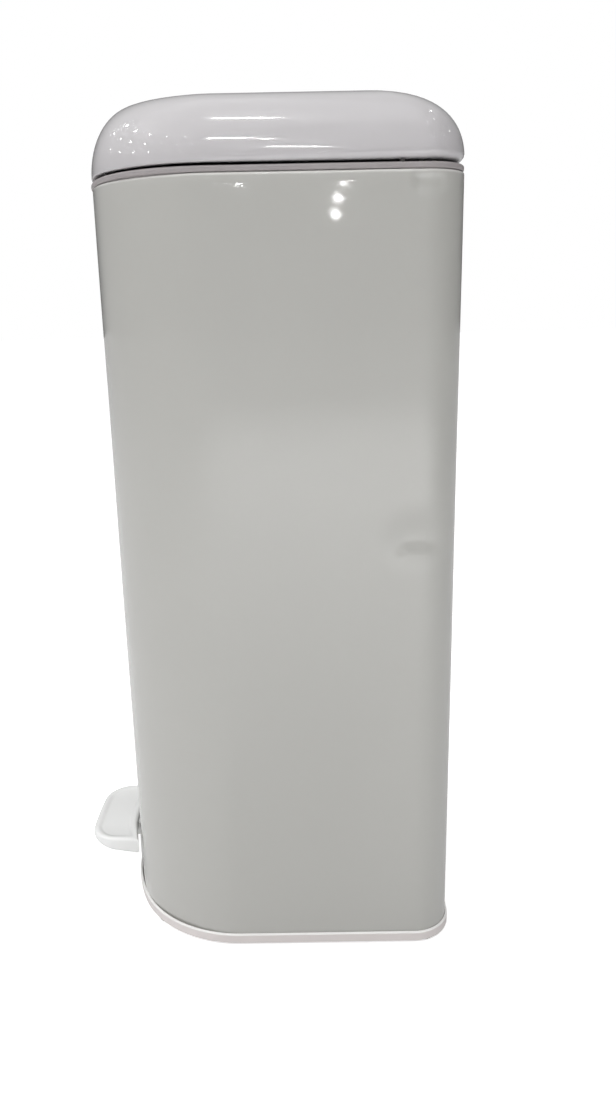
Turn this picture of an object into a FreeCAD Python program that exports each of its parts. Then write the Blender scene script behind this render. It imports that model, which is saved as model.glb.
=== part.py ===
import FreeCAD, Part
import math
import os

# Slim pedal bin. The pedal is at the front (-Y), the hinge at the back (+Y), the floor is
# z = 0. Outside: a painted steel sleeve between a plastic base and a plastic collar, and a
# domed lid. Inside: the lever, push rod and damper, and a bucket. All sizes in mm.

# ---- Sleeve ----
body_width = 240.0
body_depth = 275.0
rim_height = 602.0            # floor to the top of the rolled hem
front_corner = 96.5           # plan radius of the two large front corners
front_bow = 152.5             # plan radius of the bowed front between them
rear_corner = 29.0
sheet = 0.8
hem_depth = 4.5
hem_width = 2.2
hem_round = 1.0
flange_width = 11.0           # bottom flange, folded inwards

# ---- Base ----
foot_height = 2.0
foot_radius = 10.0
foot_spigot = 4.0
foot_edge = 2.0               # rear feet inside the sleeve's side
foot_rear = 20.5              # rear feet's middle ahead of the sleeve's back
foot_angle = 42.0             # front feet, degrees round the front corners
foot_inset = 9.0              # their middle inside the outline
floor_thick = 4.0
ring_proud = 2.0              # the base ring stands this far outside the sleeve
ring_height = 8.5
rib_height = 7.0
ring_round = 1.2
base_screw = 2.0
base_screw_inset = 7.0
base_screw_angle = 32.0       # front pair, degrees round the front corners
base_screw_rear = 60.0        # rear pair, from the centre
base_screw_sunk = 2.4

# ---- Collar ----
collar_seam = 0.3
collar_height = 4.2           # the part that shows above the sleeve
collar_width = 5.0
collar_skirt = 20.0
ledge_drop = 2.8              # deck top, below the rim
deck_thick = 3.0
bumper_radius = 1.6
bumper_sunk = 3.0
bumper_inset = 2.6
bumper_angle = 35.0
bumper_rear = 45.0

# ---- Lid ----
lid_gap = 2.0                 # open gap between collar and lid
lid_height = 50.5
lid_wall = 2.5
lid_front_inset = 35.0        # how far the dome draws in at its top
lid_side_inset = 46.0
lid_rear_inset = 57.0
lid_top_corner = 26.0
lid_steps = 10
lid_opening = 78.0            # degrees
plate_gap = 3.5               # lid edge up to the bracket plate
plate_thick = 3.0
plate_half = 38.0
plate_front = 30.0            # plate's front edge, ahead of the sleeve's back
plate_back = 8.0
lid_screw_place = 30.0
lid_screw_rows = (12.0, 22.0)  # ahead of the sleeve's back
lid_boss = 4.5
screw_core = 1.55             # hole that a screw cuts its thread in
screw_shaft = 1.5
screw_hole = 1.6

# ---- Hinge ----
hinge_offset = 4.5            # lid axis behind the sleeve
hinge_drop = 5.0              # lid axis below the lid's edge
ear_radius = 4.1
hinge_pin = 1.75
housing_half = 30.0
housing_height = 50.0
knuckle_place = 18.5          # middle of each lid knuckle from the centre
knuckle_width = 8.0
hinge_screw_place = 22.0
hinge_screw_drop = 36.0       # below the lid axis
housing_foot = 3.0            # how thick the housing's lower edge is
housing_slope = 16.0

# ---- Bucket ----
bucket_gap = 13.0             # sleeve outline to bucket outline, front and sides
bucket_rear_gap = 34.0
bucket_corner = 26.0
bucket_wall = 1.8
bucket_taper = 8.0
bucket_bottom = 62.0
bucket_flange = 6.5
flange_thick = 2.0
bail_wire = 2.0
bail_drop = 12.0              # bail pivot below the bucket's rim
bail_reach = 95.0
bail_corner = 24.0
bail_sunk = 0.3               # the bail's ends stop inside the bucket's walls
grip_radius = 7.0
grip_length = 90.0

# ---- Pedal and lever ----
pedal_reach = 41.0            # pedal tip in front of the sleeve
pedal_gap = 2.5
pedal_half = 48.0
pedal_narrowing = 2.0
pedal_corner = 20.0
pedal_bow = 2.0
pedal_top = 54.0
pedal_tip_depth = 8.0
pedal_root_depth = 16.0
pedal_wall = 2.5
pedal_floor = 4.0
pedal_dish = 1.5
pedal_bead = 5.0
pedal_round = 1.5
pedal_screw_rows = (13.0, 30.0)  # behind the tip
lever_width = 26.0
lever_height = 12.0
lever_sheet = 2.0
lever_slope = 0.083           # rise per mm towards the pedal
pivot_forward = 25.0          # pedal pivot in front of the sleeve's middle
pivot_pin = 3.0
bush_radius = 3.9
post_thick = 6.0
post_reach = 22.0             # half of a post's foot
post_head = 8.0
lever_side_room = 1.5         # lever to slot, each side
lever_room = 2.0              # lever to slot, above and below
trim_thick = 0.8
trim_border = 3.0
trim_neck = 1.4
trim_gap = 1.86               # slot trim above the base ring

# ---- Push rod and damper ----
crank_radius = 20.0           # lid axis to the crank's round end
crank_end = 3.5
crank_width = 8.0
push_rod = 2.5
rod_bend = 8.0
eye_play = 0.9                # the rod's hook is loose in the lever's eye
cap_height = 8.0
push_gap = 0.8                # rod cap below the crank at rest
cap_half = 6.0
rail_half = 13.0
rail_depth = 24.0
rail_wall = 1.6
rail_bottom = 170.0
damper_place = 32.0           # damper axis beside the push rod
damper_radius = 8.0
damper_bore = 6.1
damper_wall = 3.0
damper_length = 84.0
piston_rod = 2.0
piston_height = 7.0
link_half = 6.0
socket_top = 40.0
link_height = 122.0
link_thick = 4.0

# ---- Clearances ----
shaft_play = 0.05             # radial play of a shaft in its bore
slip_play = 0.35              # between pieces that slide past each other
seat_play = 0.1               # between pieces that are fitted once

# ---- Places that follow from the sizes ----
hinge_reach = hinge_offset + ear_radius
mid_y = (pedal_reach - hinge_reach) / 2
front_y = mid_y - body_depth / 2
rear_y = mid_y + body_depth / 2
tip_y = front_y - pedal_reach
floor_z = foot_height + floor_thick
collar_bottom = rim_height + collar_seam
collar_top = collar_bottom + collar_height
ledge_z = rim_height - ledge_drop
lid_bottom = collar_top + lid_gap
plate_z = lid_bottom + plate_gap
hinge_y = rear_y + hinge_offset
hinge_z = lid_bottom - hinge_drop
half_swing = math.radians(lid_opening) / 2
crank_y = hinge_y - crank_radius * math.cos(half_swing)
crank_z = hinge_z - crank_radius * math.sin(half_swing)
rod_travel = 2 * crank_radius * math.sin(half_swing)
rod_y = hinge_y - crank_radius * (1 + math.cos(half_swing)) / 2
cap_top = crank_z - crank_end - push_gap
pivot_y = mid_y - pivot_forward
rear_arm = rod_y - pivot_y
front_drop = rod_travel * (pivot_y - front_y) / rear_arm
ring_top = foot_height + ring_height
pivot_height = (ring_top + trim_gap + trim_border + lever_room + front_drop + lever_height / 2
                - lever_slope * (pivot_y - front_y))
pedal_floor_z = pedal_top - pedal_dish - pedal_floor
bucket_rim = ledge_z + slip_play + flange_thick
bail_z = bucket_rim - bail_drop


def lever_z(y):
    """Height of the lever's centre line, which rises towards the pedal."""
    return pivot_height + lever_slope * (pivot_y - y)


# ---- Shapes used by several pieces ----
def point(x, y, z):
    return FreeCAD.Vector(x, y, z)


def arc(start, through, end):
    return Part.Arc(start, through, end).toShape()


def line(start, end):
    return Part.LineSegment(start, end).toShape()


def box(x0, x1, y0, y1, z0, z1):
    return Part.makeBox(x1 - x0, y1 - y0, z1 - z0, point(x0, y0, z0))


def bar_x(radius, x0, x1, y, z):
    return Part.makeCylinder(radius, x1 - x0, point(x0, y, z), point(1, 0, 0))


def bar_y(radius, x, y0, y1, z):
    return Part.makeCylinder(radius, y1 - y0, point(x, y0, z), point(0, 1, 0))


def bar_z(radius, x, y, z0, z1):
    return Part.makeCylinder(radius, z1 - z0, point(x, y, z0))


def prism_x(corners, x0, x1):
    """A prism along X from (y, z) corners."""
    points = [point(x0, y, z) for y, z in corners]
    face = Part.Face(Part.makePolygon(points + points[:1]))
    return face.extrude(point(x1 - x0, 0, 0))


def bent_bar(radius, edges):
    """A round bar that follows joined lines and arcs."""
    path = Part.Wire(edges)
    start = edges[0].valueAt(edges[0].FirstParameter)
    along = edges[0].tangentAt(edges[0].FirstParameter)
    section = Part.Wire([Part.makeCircle(radius, start, along)])
    return path.makePipeShell([section], True, False)


def joined(first, *others):
    return first.multiFuse(list(others)).removeSplitter()


class Plan:
    """An outline seen from above: bowed front, large front corners, small rear corners."""

    def __init__(self, width, depth, front_corner, front_bow, rear_corner, mid_y):
        self.half = width / 2
        self.front = mid_y - depth / 2
        self.rear = mid_y + depth / 2
        self.front_corner = front_corner
        self.front_bow = front_bow
        self.rear_corner = rear_corner
        self.corner_x = self.half - front_corner
        self.turn = math.asin(self.corner_x / (front_bow - front_corner))
        self.bow_y = self.front + front_bow
        self.corner_y = self.bow_y - (front_bow - front_corner) * math.cos(self.turn)

    def on_corner(self, side, angle, out, z):
        """A point on a front corner, angle in radians from straight ahead."""
        radius = self.front_corner + out
        return point(side * (self.corner_x + radius * math.sin(angle)),
                     self.corner_y - radius * math.cos(angle), z)

    def wire(self, out, z):
        """The closed outline moved outwards by out, at height z."""
        half = self.half + out
        small = self.rear_corner + out
        rear = self.rear + out
        centre_x = half - small
        centre_y = rear - small
        diagonal = small * math.sqrt(0.5)
        edges = [arc(self.on_corner(-1, self.turn, out, z),
                     point(0, self.front - out, z),
                     self.on_corner(1, self.turn, out, z))]
        for side in (1, -1):
            front_end = point(side * half, self.corner_y, z)
            rear_end = point(side * half, centre_y, z)
            edges.append(arc(self.on_corner(side, self.turn, out, z),
                             self.on_corner(side, (self.turn + math.pi / 2) / 2, out, z),
                             front_end))
            edges.append(line(front_end, rear_end))
            edges.append(arc(rear_end,
                             point(side * (centre_x + diagonal), centre_y + diagonal, z),
                             point(side * centre_x, rear, z)))
        edges.append(line(point(centre_x, rear, z), point(-centre_x, rear, z)))
        return Part.Wire(Part.__sortEdges__(edges))

    def slab(self, out, bottom, top):
        return Part.Face(self.wire(out, bottom)).extrude(point(0, 0, top - bottom))

    def ring(self, outer, inner, bottom, top):
        return self.slab(outer, bottom, top).cut(self.slab(inner, bottom - 1, top + 1))

    def rounded(self, shape, out, z, radius):
        """Fillets the edges of shape that lie on this outline moved by out, at height z."""
        outline = self.wire(out, z)
        chosen = []
        for edge in shape.Edges:
            middle = edge.valueAt((edge.FirstParameter + edge.LastParameter) / 2)
            if outline.distToShape(Part.Vertex(middle))[0] < 0.02:
                chosen.append(edge)
        return shape.makeFillet(radius, chosen)


def screw(head_radius, head_height, shaft_radius, length):
    """A cross-head screw: the head hangs below z = 0 and the shaft goes up."""
    head = bar_z(head_radius, 0, 0, -head_height, 0)
    rim = [edge for edge in head.Edges if abs(edge.BoundBox.ZMax + head_height) < 0.01]
    head = head.makeFillet(head_height * 0.4, rim)
    blade = head_radius * 0.55
    recess_top = -head_height * 0.45
    for half_x, half_y in ((blade, 0.35), (0.35, blade)):
        head = head.cut(box(-half_x, half_x, -half_y, half_y, -head_height - 1, recess_top))
    return joined(head, bar_z(shaft_radius, 0, 0, -0.1, length))


def placed(shape, position, turned=0):
    """A copy at position, first turned about X by some degrees."""
    copy = shape.copy()
    copy.rotate(point(0, 0, 0), point(1, 0, 0), turned)
    copy.translate(position)
    return copy


def export(node, *solids):
    shape = Part.makeCompound(list(solids)) if len(solids) > 1 else solids[0]
    shape.exportStep("parts/" + node + ".step")


body_plan = Plan(body_width, body_depth, front_corner, front_bow, rear_corner, mid_y)
bucket_plan = Plan(body_width - 2 * bucket_gap, body_depth - bucket_gap - bucket_rear_gap,
                   front_corner - bucket_gap, front_bow - bucket_gap, bucket_corner,
                   mid_y + (bucket_gap - bucket_rear_gap) / 2)
bail_y = (bucket_plan.front + bucket_plan.rear) / 2

# ---- Places of the fasteners, feet and bumpers ----
base_screw_places = [body_plan.on_corner(side, math.radians(base_screw_angle),
                                         -base_screw_inset, 0) for side in (1, -1)]
base_screw_places += [point(side * base_screw_rear, rear_y - base_screw_inset, 0)
                      for side in (1, -1)]
foot_places = [body_plan.on_corner(side, math.radians(foot_angle), -foot_inset, 0)
               for side in (1, -1)]
foot_places += [point(side * (body_width / 2 - foot_radius - foot_edge), rear_y - foot_rear, 0)
                for side in (1, -1)]
bumper_places = [body_plan.on_corner(side, math.radians(bumper_angle), -bumper_inset, 0)
                 for side in (1, -1)]
bumper_places += [point(side * (body_width / 2 - bumper_inset), rear_y - bumper_rear, 0)
                  for side in (1, -1)]
hinge_screw_z = hinge_z - hinge_screw_drop
lid_screw_places = [point(side * lid_screw_place, rear_y - back, 0)
                    for side in (1, -1) for back in lid_screw_rows]
pedal_screw_places = [point(0, tip_y + back, 0) for back in pedal_screw_rows]
slot_half = lever_width / 2 + lever_side_room
slot_top = lever_z(front_y) + lever_height / 2 + lever_room
slot_bottom = lever_z(front_y) - lever_height / 2 - front_drop - lever_room


# ---- Sleeve and base ----
def make_body_shell():
    """Sheet sleeve with a rolled hem, a folded bottom flange and the lever's slot."""
    wall = body_plan.ring(0, -sheet, floor_z, rim_height)
    hem = body_plan.ring(0, -hem_width, rim_height - hem_depth, rim_height)
    hem = body_plan.rounded(hem, 0, rim_height, hem_round)
    flange = body_plan.ring(-sheet / 2, -flange_width, floor_z, floor_z + sheet)
    shell = joined(wall, hem, flange)
    border = trim_neck + seat_play
    shell = shell.cut(box(-slot_half - border, slot_half + border, front_y - 5, front_y + 9,
                          slot_bottom - border, slot_top + border))
    for place in base_screw_places:
        shell = shell.cut(bar_z(base_screw + shaft_play, place.x, place.y, 0, floor_z + 5))
    for side in (1, -1):
        shell = shell.cut(bar_y(2.1, side * hinge_screw_place, rear_y - 5, rear_y + 5,
                                hinge_screw_z))
    return shell


def make_base_tray():
    """Moulded floor with an outer ring, ribs, the pedal's pivot posts and damper socket."""
    floor = body_plan.slab(ring_proud, foot_height, floor_z)
    lip = body_plan.ring(ring_proud, 0.2, foot_height, ring_top)
    tray = joined(floor, lip)
    tray = body_plan.rounded(tray, ring_proud, ring_top, ring_round)
    tray = body_plan.rounded(tray, ring_proud, foot_height, 0.8)
    uprights = []
    for side in (1, -1):
        inner = lever_width / 2 + 2
        near, far = sorted((side * inner, side * (inner + post_thick)))
        uprights.append(prism_x([(pivot_y - post_reach, floor_z - 1),
                                 (pivot_y + post_reach, floor_z - 1),
                                 (pivot_y + post_head, pivot_height + post_head),
                                 (pivot_y - post_head, pivot_height + post_head)], near, far))
        uprights.append(box(near, near + 2, front_y + 14, rear_y - 14,
                            floor_z - 1, floor_z + rib_height))
    for along in (0.2, 0.4, 0.6, 0.8):
        rib_y = front_y + body_depth * along
        for side in (1, -1):
            near, far = sorted((side * lever_width / 2 + side * 2, side * 100))
            uprights.append(box(near, far, rib_y, rib_y + 2, floor_z - 1, floor_z + rib_height))
    uprights.append(bar_z(damper_radius + 3, damper_place, rod_y, floor_z - 1, socket_top))
    upright = joined(*uprights).common(body_plan.slab(-sheet - slip_play, floor_z - 1, rim_height))
    upright = upright.cut(body_plan.ring(5, -flange_width - slip_play,
                                         floor_z, floor_z + sheet + slip_play))
    tray = joined(tray, upright)
    tray = tray.cut(bar_z(damper_radius + shaft_play, damper_place, rod_y,
                          floor_z + 2, socket_top + 1))
    tray = tray.cut(bar_x(pivot_pin + shaft_play, -60, 60, pivot_y, pivot_height))
    for place in base_screw_places:
        tray = tray.cut(bar_z(base_screw + shaft_play, place.x, place.y, 0, floor_z))
        tray = tray.cut(bar_z(2.2 * base_screw, place.x, place.y, 0, foot_height + base_screw_sunk))
    for place in foot_places:
        tray = tray.cut(bar_z(foot_spigot + shaft_play, place.x, place.y, 0, floor_z))
    return tray


def make_foot_pads():
    """Four rubber pads, each with a spigot pressed into the floor."""
    pads = []
    for place in foot_places:
        pad = bar_z(foot_radius, place.x, place.y, 0, foot_height)
        edge = [edge for edge in pad.Edges if edge.BoundBox.ZMax < 0.01]
        pad = pad.makeFillet(0.6, edge)
        pads.append(joined(pad, bar_z(foot_spigot, place.x, place.y, 0.5, floor_z - 0.1)))
    return pads


def make_base_screws():
    blank = screw(2 * base_screw, 2.2, base_screw, 10)
    return [placed(blank, place + point(0, 0, foot_height + base_screw_sunk))
            for place in base_screw_places]


def make_slot_trim():
    """Plastic frame that lines the slot, so that the lever doesn't rub the sheet."""
    outer_half = slot_half + trim_border
    low = slot_bottom - trim_border
    high = slot_top + trim_border
    window = box(-outer_half, outer_half, front_y - 9, front_y + 9, low, high)
    frame = body_plan.ring(trim_thick, 0.02, low, high).common(window)
    inner_half = slot_half + trim_neck
    neck_window = box(-inner_half, inner_half, front_y - 9, front_y + 9,
                      slot_bottom - trim_neck, slot_top + trim_neck)
    neck = body_plan.ring(0.1, -3, low, high).common(neck_window)
    return joined(frame, neck).cut(box(-slot_half, slot_half, front_y - 9, front_y + 9,
                                       slot_bottom, slot_top))


# ---- Collar ----
def make_collar_ring():
    """Ring on the sleeve's rim. Its skirt sits inside the hem and its deck holds the bucket."""
    ridge = body_plan.ring(-0.2, -collar_width, collar_bottom, collar_top)
    ridge = body_plan.rounded(ridge, -0.2, collar_top, 1.8)
    ridge = body_plan.rounded(ridge, -0.2, collar_bottom, 1.2)
    skirt_out = -hem_width - 0.2
    skirt_in = skirt_out - 2
    skirt = body_plan.ring(skirt_out, skirt_in, collar_bottom - collar_skirt, collar_bottom)
    deck = body_plan.slab(skirt_in + 0.5, ledge_z - deck_thick, ledge_z)
    deck = deck.cut(bucket_plan.slab(1.5, 0, rim_height))
    collar = joined(ridge, skirt, deck)
    collar = collar.cut(box(-12, 12, hinge_y - crank_radius - crank_end - 5, rear_y - 6,
                            ledge_z - deck_thick - 1, ledge_z + 1))
    for place in bumper_places:
        collar = collar.cut(bar_z(bumper_radius + shaft_play, place.x, place.y,
                                  collar_top - bumper_sunk, collar_top + 1))
    return collar


def make_lid_bumpers():
    return [bar_z(bumper_radius, place.x, place.y, collar_top - bumper_sunk + seat_play,
                  lid_bottom - slip_play)
            for place in bumper_places]


# ---- Lid ----
def dome(shrink, bottom):
    """The lid's outer form, made smaller all round by shrink: a quarter-ellipse edge."""
    wires = []
    for step in range(lid_steps + 1):
        angle = math.pi / 2 * step / lid_steps
        inset = 1 - math.cos(angle)
        plan = Plan(body_width - 2 * lid_side_inset * inset,
                    body_depth - (lid_front_inset + lid_rear_inset) * inset,
                    front_corner - lid_side_inset * inset,
                    front_bow - lid_front_inset * inset,
                    rear_corner + (lid_top_corner - rear_corner) * inset,
                    mid_y + (lid_front_inset - lid_rear_inset) / 2 * inset)
        top = lid_bottom + (lid_height - shrink) * math.sin(angle)
        wires.append(plan.wire(-shrink, top))
    solid = Part.makeLoft(wires, True, True)
    if bottom < lid_bottom:
        solid = solid.fuse(body_plan.slab(-shrink, bottom, lid_bottom))
    return solid


def make_lid_shell():
    """Domed lid with a thicker edge, bosses for the bracket and notches for its arms."""
    outer = dome(0, lid_bottom)
    lid = outer.cut(dome(lid_wall, lid_bottom - 1))
    edge = body_plan.ring(-1, -4, lid_bottom, lid_bottom + 3.5).common(outer)
    bosses = [bar_z(lid_boss, place.x, place.y, plate_z + plate_thick, lid_bottom + lid_height)
              for place in lid_screw_places]
    lid = joined(lid, edge, *[boss.common(outer) for boss in bosses])
    for place in lid_screw_places:
        lid = lid.cut(bar_z(screw_core, place.x, place.y, plate_z, plate_z + plate_thick + 9))
    for side in (1, -1):
        middle = side * knuckle_place
        half = knuckle_width / 2 + 0.5
        lid = lid.cut(box(middle - half, middle + half, rear_y - 8, rear_y + 5,
                          lid_bottom - 1, plate_z + plate_thick + 0.5))
    return lid


def make_lid_bracket():
    """Plate under the lid with two hinge knuckles behind and the crank below."""
    plate = box(-plate_half, plate_half, rear_y - plate_front, rear_y - plate_back,
                plate_z, plate_z + plate_thick)
    pieces = [plate]
    for side in (1, -1):
        low = side * knuckle_place - knuckle_width / 2
        high = low + knuckle_width
        arm = prism_x([(rear_y - 26, plate_z - 3), (rear_y + 0.5, plate_z - 5),
                       (hinge_y - ear_radius, hinge_z), (hinge_y + ear_radius, hinge_z),
                       (hinge_y + ear_radius, plate_z + plate_thick - 3),
                       (hinge_y + ear_radius - 3, plate_z + plate_thick),
                       (rear_y - 26, plate_z + plate_thick)], low, high)
        pieces += [arm, bar_x(ear_radius, low, high, hinge_y, hinge_z)]
    half = crank_width / 2
    pieces.append(prism_x([(crank_y + crank_end, plate_z + 1), (rear_y - 24, plate_z + 1),
                           (crank_y - crank_end, crank_z), (crank_y + crank_end, crank_z)],
                          -half, half))
    pieces.append(bar_x(crank_end, -half, half, crank_y, crank_z))
    bracket = joined(*pieces)
    bracket = bracket.cut(bar_x(hinge_pin + shaft_play, -plate_half, plate_half, hinge_y, hinge_z))
    for place in lid_screw_places:
        bracket = bracket.cut(bar_z(screw_hole, place.x, place.y, plate_z - 5, plate_z + 10))
    return bracket


def make_lid_screws():
    blank = screw(3.2, 2.2, screw_shaft, plate_thick + 7)
    return [placed(blank, place + point(0, 0, plate_z)) for place in lid_screw_places]


# ---- Hinge ----
def make_hinge_housing():
    """Moulded block on the back: a centre ear and two outer ears hold the pin."""
    low = hinge_z - housing_height
    block = prism_x([(rear_y, low), (rear_y + housing_foot, low),
                     (rear_y + hinge_reach, low + housing_slope),
                     (rear_y + hinge_reach, hinge_z), (hinge_y - ear_radius, hinge_z),
                     (hinge_y - ear_radius, hinge_z - 8), (rear_y, hinge_z - 8)],
                    -housing_half, housing_half)
    ears = bar_x(ear_radius, -housing_half, housing_half, hinge_y, hinge_z)
    housing = joined(block, ears)
    for side in (1, -1):
        middle = side * knuckle_place
        half = knuckle_width / 2 + 0.5
        housing = housing.cut(box(middle - half, middle + half, rear_y - 1, rear_y + 20,
                                  hinge_z - 8, hinge_z + 10))
        housing = housing.cut(bar_y(screw_core, side * hinge_screw_place, rear_y - 1, rear_y + 6,
                                    hinge_screw_z))
    return housing.cut(bar_x(hinge_pin + shaft_play, -housing_half - 1, housing_half + 1,
                             hinge_y, hinge_z))


def make_hinge_pin():
    return bar_x(hinge_pin, -housing_half + 0.5, housing_half - 0.5, hinge_y, hinge_z)


def make_hinge_screws():
    """They pass from inside, through the rail's pads and the sleeve, into the housing."""
    blank = screw(3.4, 2.2, screw_shaft, 9)
    inside = rear_y - sheet - 2.2
    return [placed(blank, point(side * hinge_screw_place, inside, hinge_screw_z), -90)
            for side in (1, -1)]


# ---- Push rod, its rail and the damper ----
def make_rod_rail():
    """Channel up the back wall with three guides, and pads for the hinge screws."""
    back = rear_y - sheet - 0.1
    front = back - rail_depth
    top = cap_top - cap_height - 3
    channel = box(-rail_half, rail_half, front, back, rail_bottom, top)
    channel = channel.cut(box(-rail_half + rail_wall, rail_half - rail_wall,
                              front + rail_wall, back + 1, rail_bottom - 1, top + 1))
    pieces = [channel]
    for side in (1, -1):
        near, far = sorted((side * (rail_half - 1), side * (rail_half + 6)))
        pieces.append(box(near, far, back - rail_wall, back, rail_bottom, top))
        near, far = sorted((side * (rail_half - 1), side * (hinge_screw_place + 6)))
        pieces.append(box(near, far, back - 2.1, back, hinge_screw_z - 8, top))
    for share in (0.02, 0.5, 0.97):
        z = rail_bottom + (top - rail_bottom) * share
        pieces.append(box(-rail_half + 0.5, rail_half - 0.5, front + 0.5, back, z, z + 4))
    rail = joined(*pieces)
    rail = rail.cut(bar_z(push_rod + slip_play, 0, rod_y, 0, rim_height))
    for side in (1, -1):
        rail = rail.cut(bar_y(screw_hole, side * hinge_screw_place, back - 5, back + 1,
                              hinge_screw_z))
    return rail


def make_push_rod():
    """Steel wire rod. Its lower end bends sideways through the lever's eye."""
    hook_z = lever_z(rod_y)
    turn = rod_bend * math.sqrt(0.5)
    top = point(0, rod_y, cap_top - 2.1)
    bend_top = point(0, rod_y, hook_z + rod_bend)
    bend_end = point(rod_bend, rod_y, hook_z)
    through = point(rod_bend - turn, rod_y, hook_z + rod_bend - turn)
    end = point(lever_width / 2 + 4, rod_y, hook_z)
    return bent_bar(push_rod, [line(top, bend_top), arc(bend_top, through, bend_end),
                               line(bend_end, end)])


def make_rod_cap():
    cap = box(-cap_half, cap_half, rod_y - cap_half - 1, rod_y + cap_half + 1,
              cap_top - cap_height, cap_top)
    rim = [edge for edge in cap.Edges if edge.BoundBox.ZMin > cap_top - 0.01]
    cap = cap.makeFillet(1.0, rim)
    return cap.cut(bar_z(push_rod + shaft_play, 0, rod_y, 0, cap_top - 2))


def make_damper_cylinder():
    low = floor_z + 2
    tube = bar_z(damper_radius, damper_place, rod_y, low, low + damper_length)
    return tube.cut(bar_z(damper_bore, damper_place, rod_y,
                          low + damper_wall, low + damper_length + 1))


def make_damper_cap():
    top = floor_z + 2 + damper_length
    cap = joined(bar_z(damper_radius, damper_place, rod_y, top, top + 3),
                 bar_z(damper_bore - shaft_play, damper_place, rod_y, top - 5, top + 0.1))
    return cap.cut(bar_z(piston_rod + shaft_play, damper_place, rod_y, top - 9, top + 9))


def make_damper_piston():
    low = floor_z + 2 + damper_wall + 5
    return joined(bar_z(damper_bore - seat_play, damper_place, rod_y, low, low + piston_height),
                  bar_z(piston_rod, damper_place, rod_y, low + 1, link_height + link_thick + 3))


def make_damper_link():
    """Clamp plate that ties the damper's piston to the push rod."""
    top = link_height + link_thick
    plate = joined(box(0, damper_place, rod_y - link_half, rod_y + link_half, link_height, top),
                   bar_z(link_half, 0, rod_y, link_height, top),
                   bar_z(link_half, damper_place, rod_y, link_height, top))
    plate = plate.cut(bar_z(push_rod + shaft_play, 0, rod_y, 0, top + 9))
    return plate.cut(bar_z(piston_rod + shaft_play, damper_place, rod_y, 0, top + 9))


# ---- Pedal ----
def pedal_outline(inset, z):
    """The pedal from above, drawn in by inset. Its root runs on into the sleeve."""
    radius = pedal_corner - inset
    tip = tip_y + inset
    corner_y = tip + pedal_bow + radius
    half = pedal_half - inset
    tip_half = half - pedal_narrowing
    diagonal = radius * (1 - math.sqrt(0.5))
    root_y = front_y + pedal_corner
    edges = [arc(point(radius - tip_half, tip + pedal_bow, z), point(0, tip, z),
                 point(tip_half - radius, tip + pedal_bow, z)),
             line(point(half, root_y, z), point(-half, root_y, z))]
    for side in (1, -1):
        start = point(side * (tip_half - radius), tip + pedal_bow, z)
        through = point(side * (tip_half - diagonal), tip + pedal_bow + diagonal, z)
        end = point(side * tip_half, corner_y, z)
        edges += [arc(start, through, end), line(end, point(side * half, root_y, z))]
    return Part.Face(Part.Wire(Part.__sortEdges__(edges)))


def make_pedal_cover():
    """Moulded tread with a raised bead, a deeper root than tip, and open below."""
    low = pedal_top - pedal_root_depth - 4
    block = pedal_outline(0, low).extrude(point(0, 0, pedal_top - low))
    top = [edge for edge in block.Edges
           if edge.BoundBox.ZMin > pedal_top - 0.01 and edge.BoundBox.YMin < front_y]
    block = block.makeFillet(pedal_round, top)
    side_view = prism_x([(tip_y - 1, pedal_top + 1), (tip_y - 1, pedal_top - pedal_tip_depth),
                         (front_y, pedal_top - pedal_root_depth),
                         (front_y + 40, pedal_top - pedal_root_depth),
                         (front_y + 40, pedal_top + 1)], -60, 60)
    cover = block.common(side_view)
    hollow = pedal_outline(pedal_wall, low).extrude(point(0, 0, pedal_floor_z - low))
    dish = pedal_outline(pedal_bead, pedal_top - pedal_dish).extrude(point(0, 0, 5))
    dish = dish.cut(body_plan.slab(pedal_gap + pedal_bead, 0, rim_height))
    cover = cover.cut(hollow).cut(dish).cut(body_plan.slab(pedal_gap, 0, rim_height))
    for place in pedal_screw_places:
        cover = cover.cut(bar_z(screw_shaft + shaft_play, place.x, place.y,
                                pedal_floor_z - 1, pedal_floor_z + 3.2))
    return cover


def make_pedal_lever():
    """Pressed channel from under the tread, through the slot, to the push rod."""
    back = rod_y + 9
    half_height = lever_height / 2
    knee = front_y - 3
    outline = [(back, lever_z(back) + half_height), (knee, pedal_floor_z),
               (tip_y + 8, pedal_floor_z), (tip_y + 8, pedal_floor_z - 4),
               (knee, lever_z(knee) - half_height), (back, lever_z(back) - half_height)]
    lever = prism_x(outline, -lever_width / 2, lever_width / 2)
    inside = [(y, z - lever_sheet) for y, z in outline[:3]]
    inside += [(tip_y + 8, 0), (back, 0)]
    lever = lever.cut(prism_x(inside, lever_sheet - lever_width / 2, lever_width / 2 - lever_sheet))
    lever = lever.cut(box(lever_sheet - lever_width / 2, lever_width / 2 - lever_sheet,
                          rod_y - 14, back + 1, 0, pedal_top))
    lever = lever.cut(bar_x(bush_radius + shaft_play, -30, 30, pivot_y, pivot_height))
    lever = lever.cut(bar_x(push_rod + eye_play, -30, 30, rod_y, lever_z(rod_y)))
    for place in pedal_screw_places:
        lever = lever.cut(bar_z(screw_hole, place.x, place.y, 0, pedal_top))
    return lever


def make_pivot_bush():
    bush = bar_x(bush_radius, -lever_width / 2 - 1, lever_width / 2 + 1, pivot_y, pivot_height)
    return bush.cut(bar_x(pivot_pin + shaft_play, -30, 30, pivot_y, pivot_height))


def make_pivot_pin():
    half = lever_width / 2 + 2 + post_thick + 4
    return bar_x(pivot_pin, -half, half, pivot_y, pivot_height)


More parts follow.
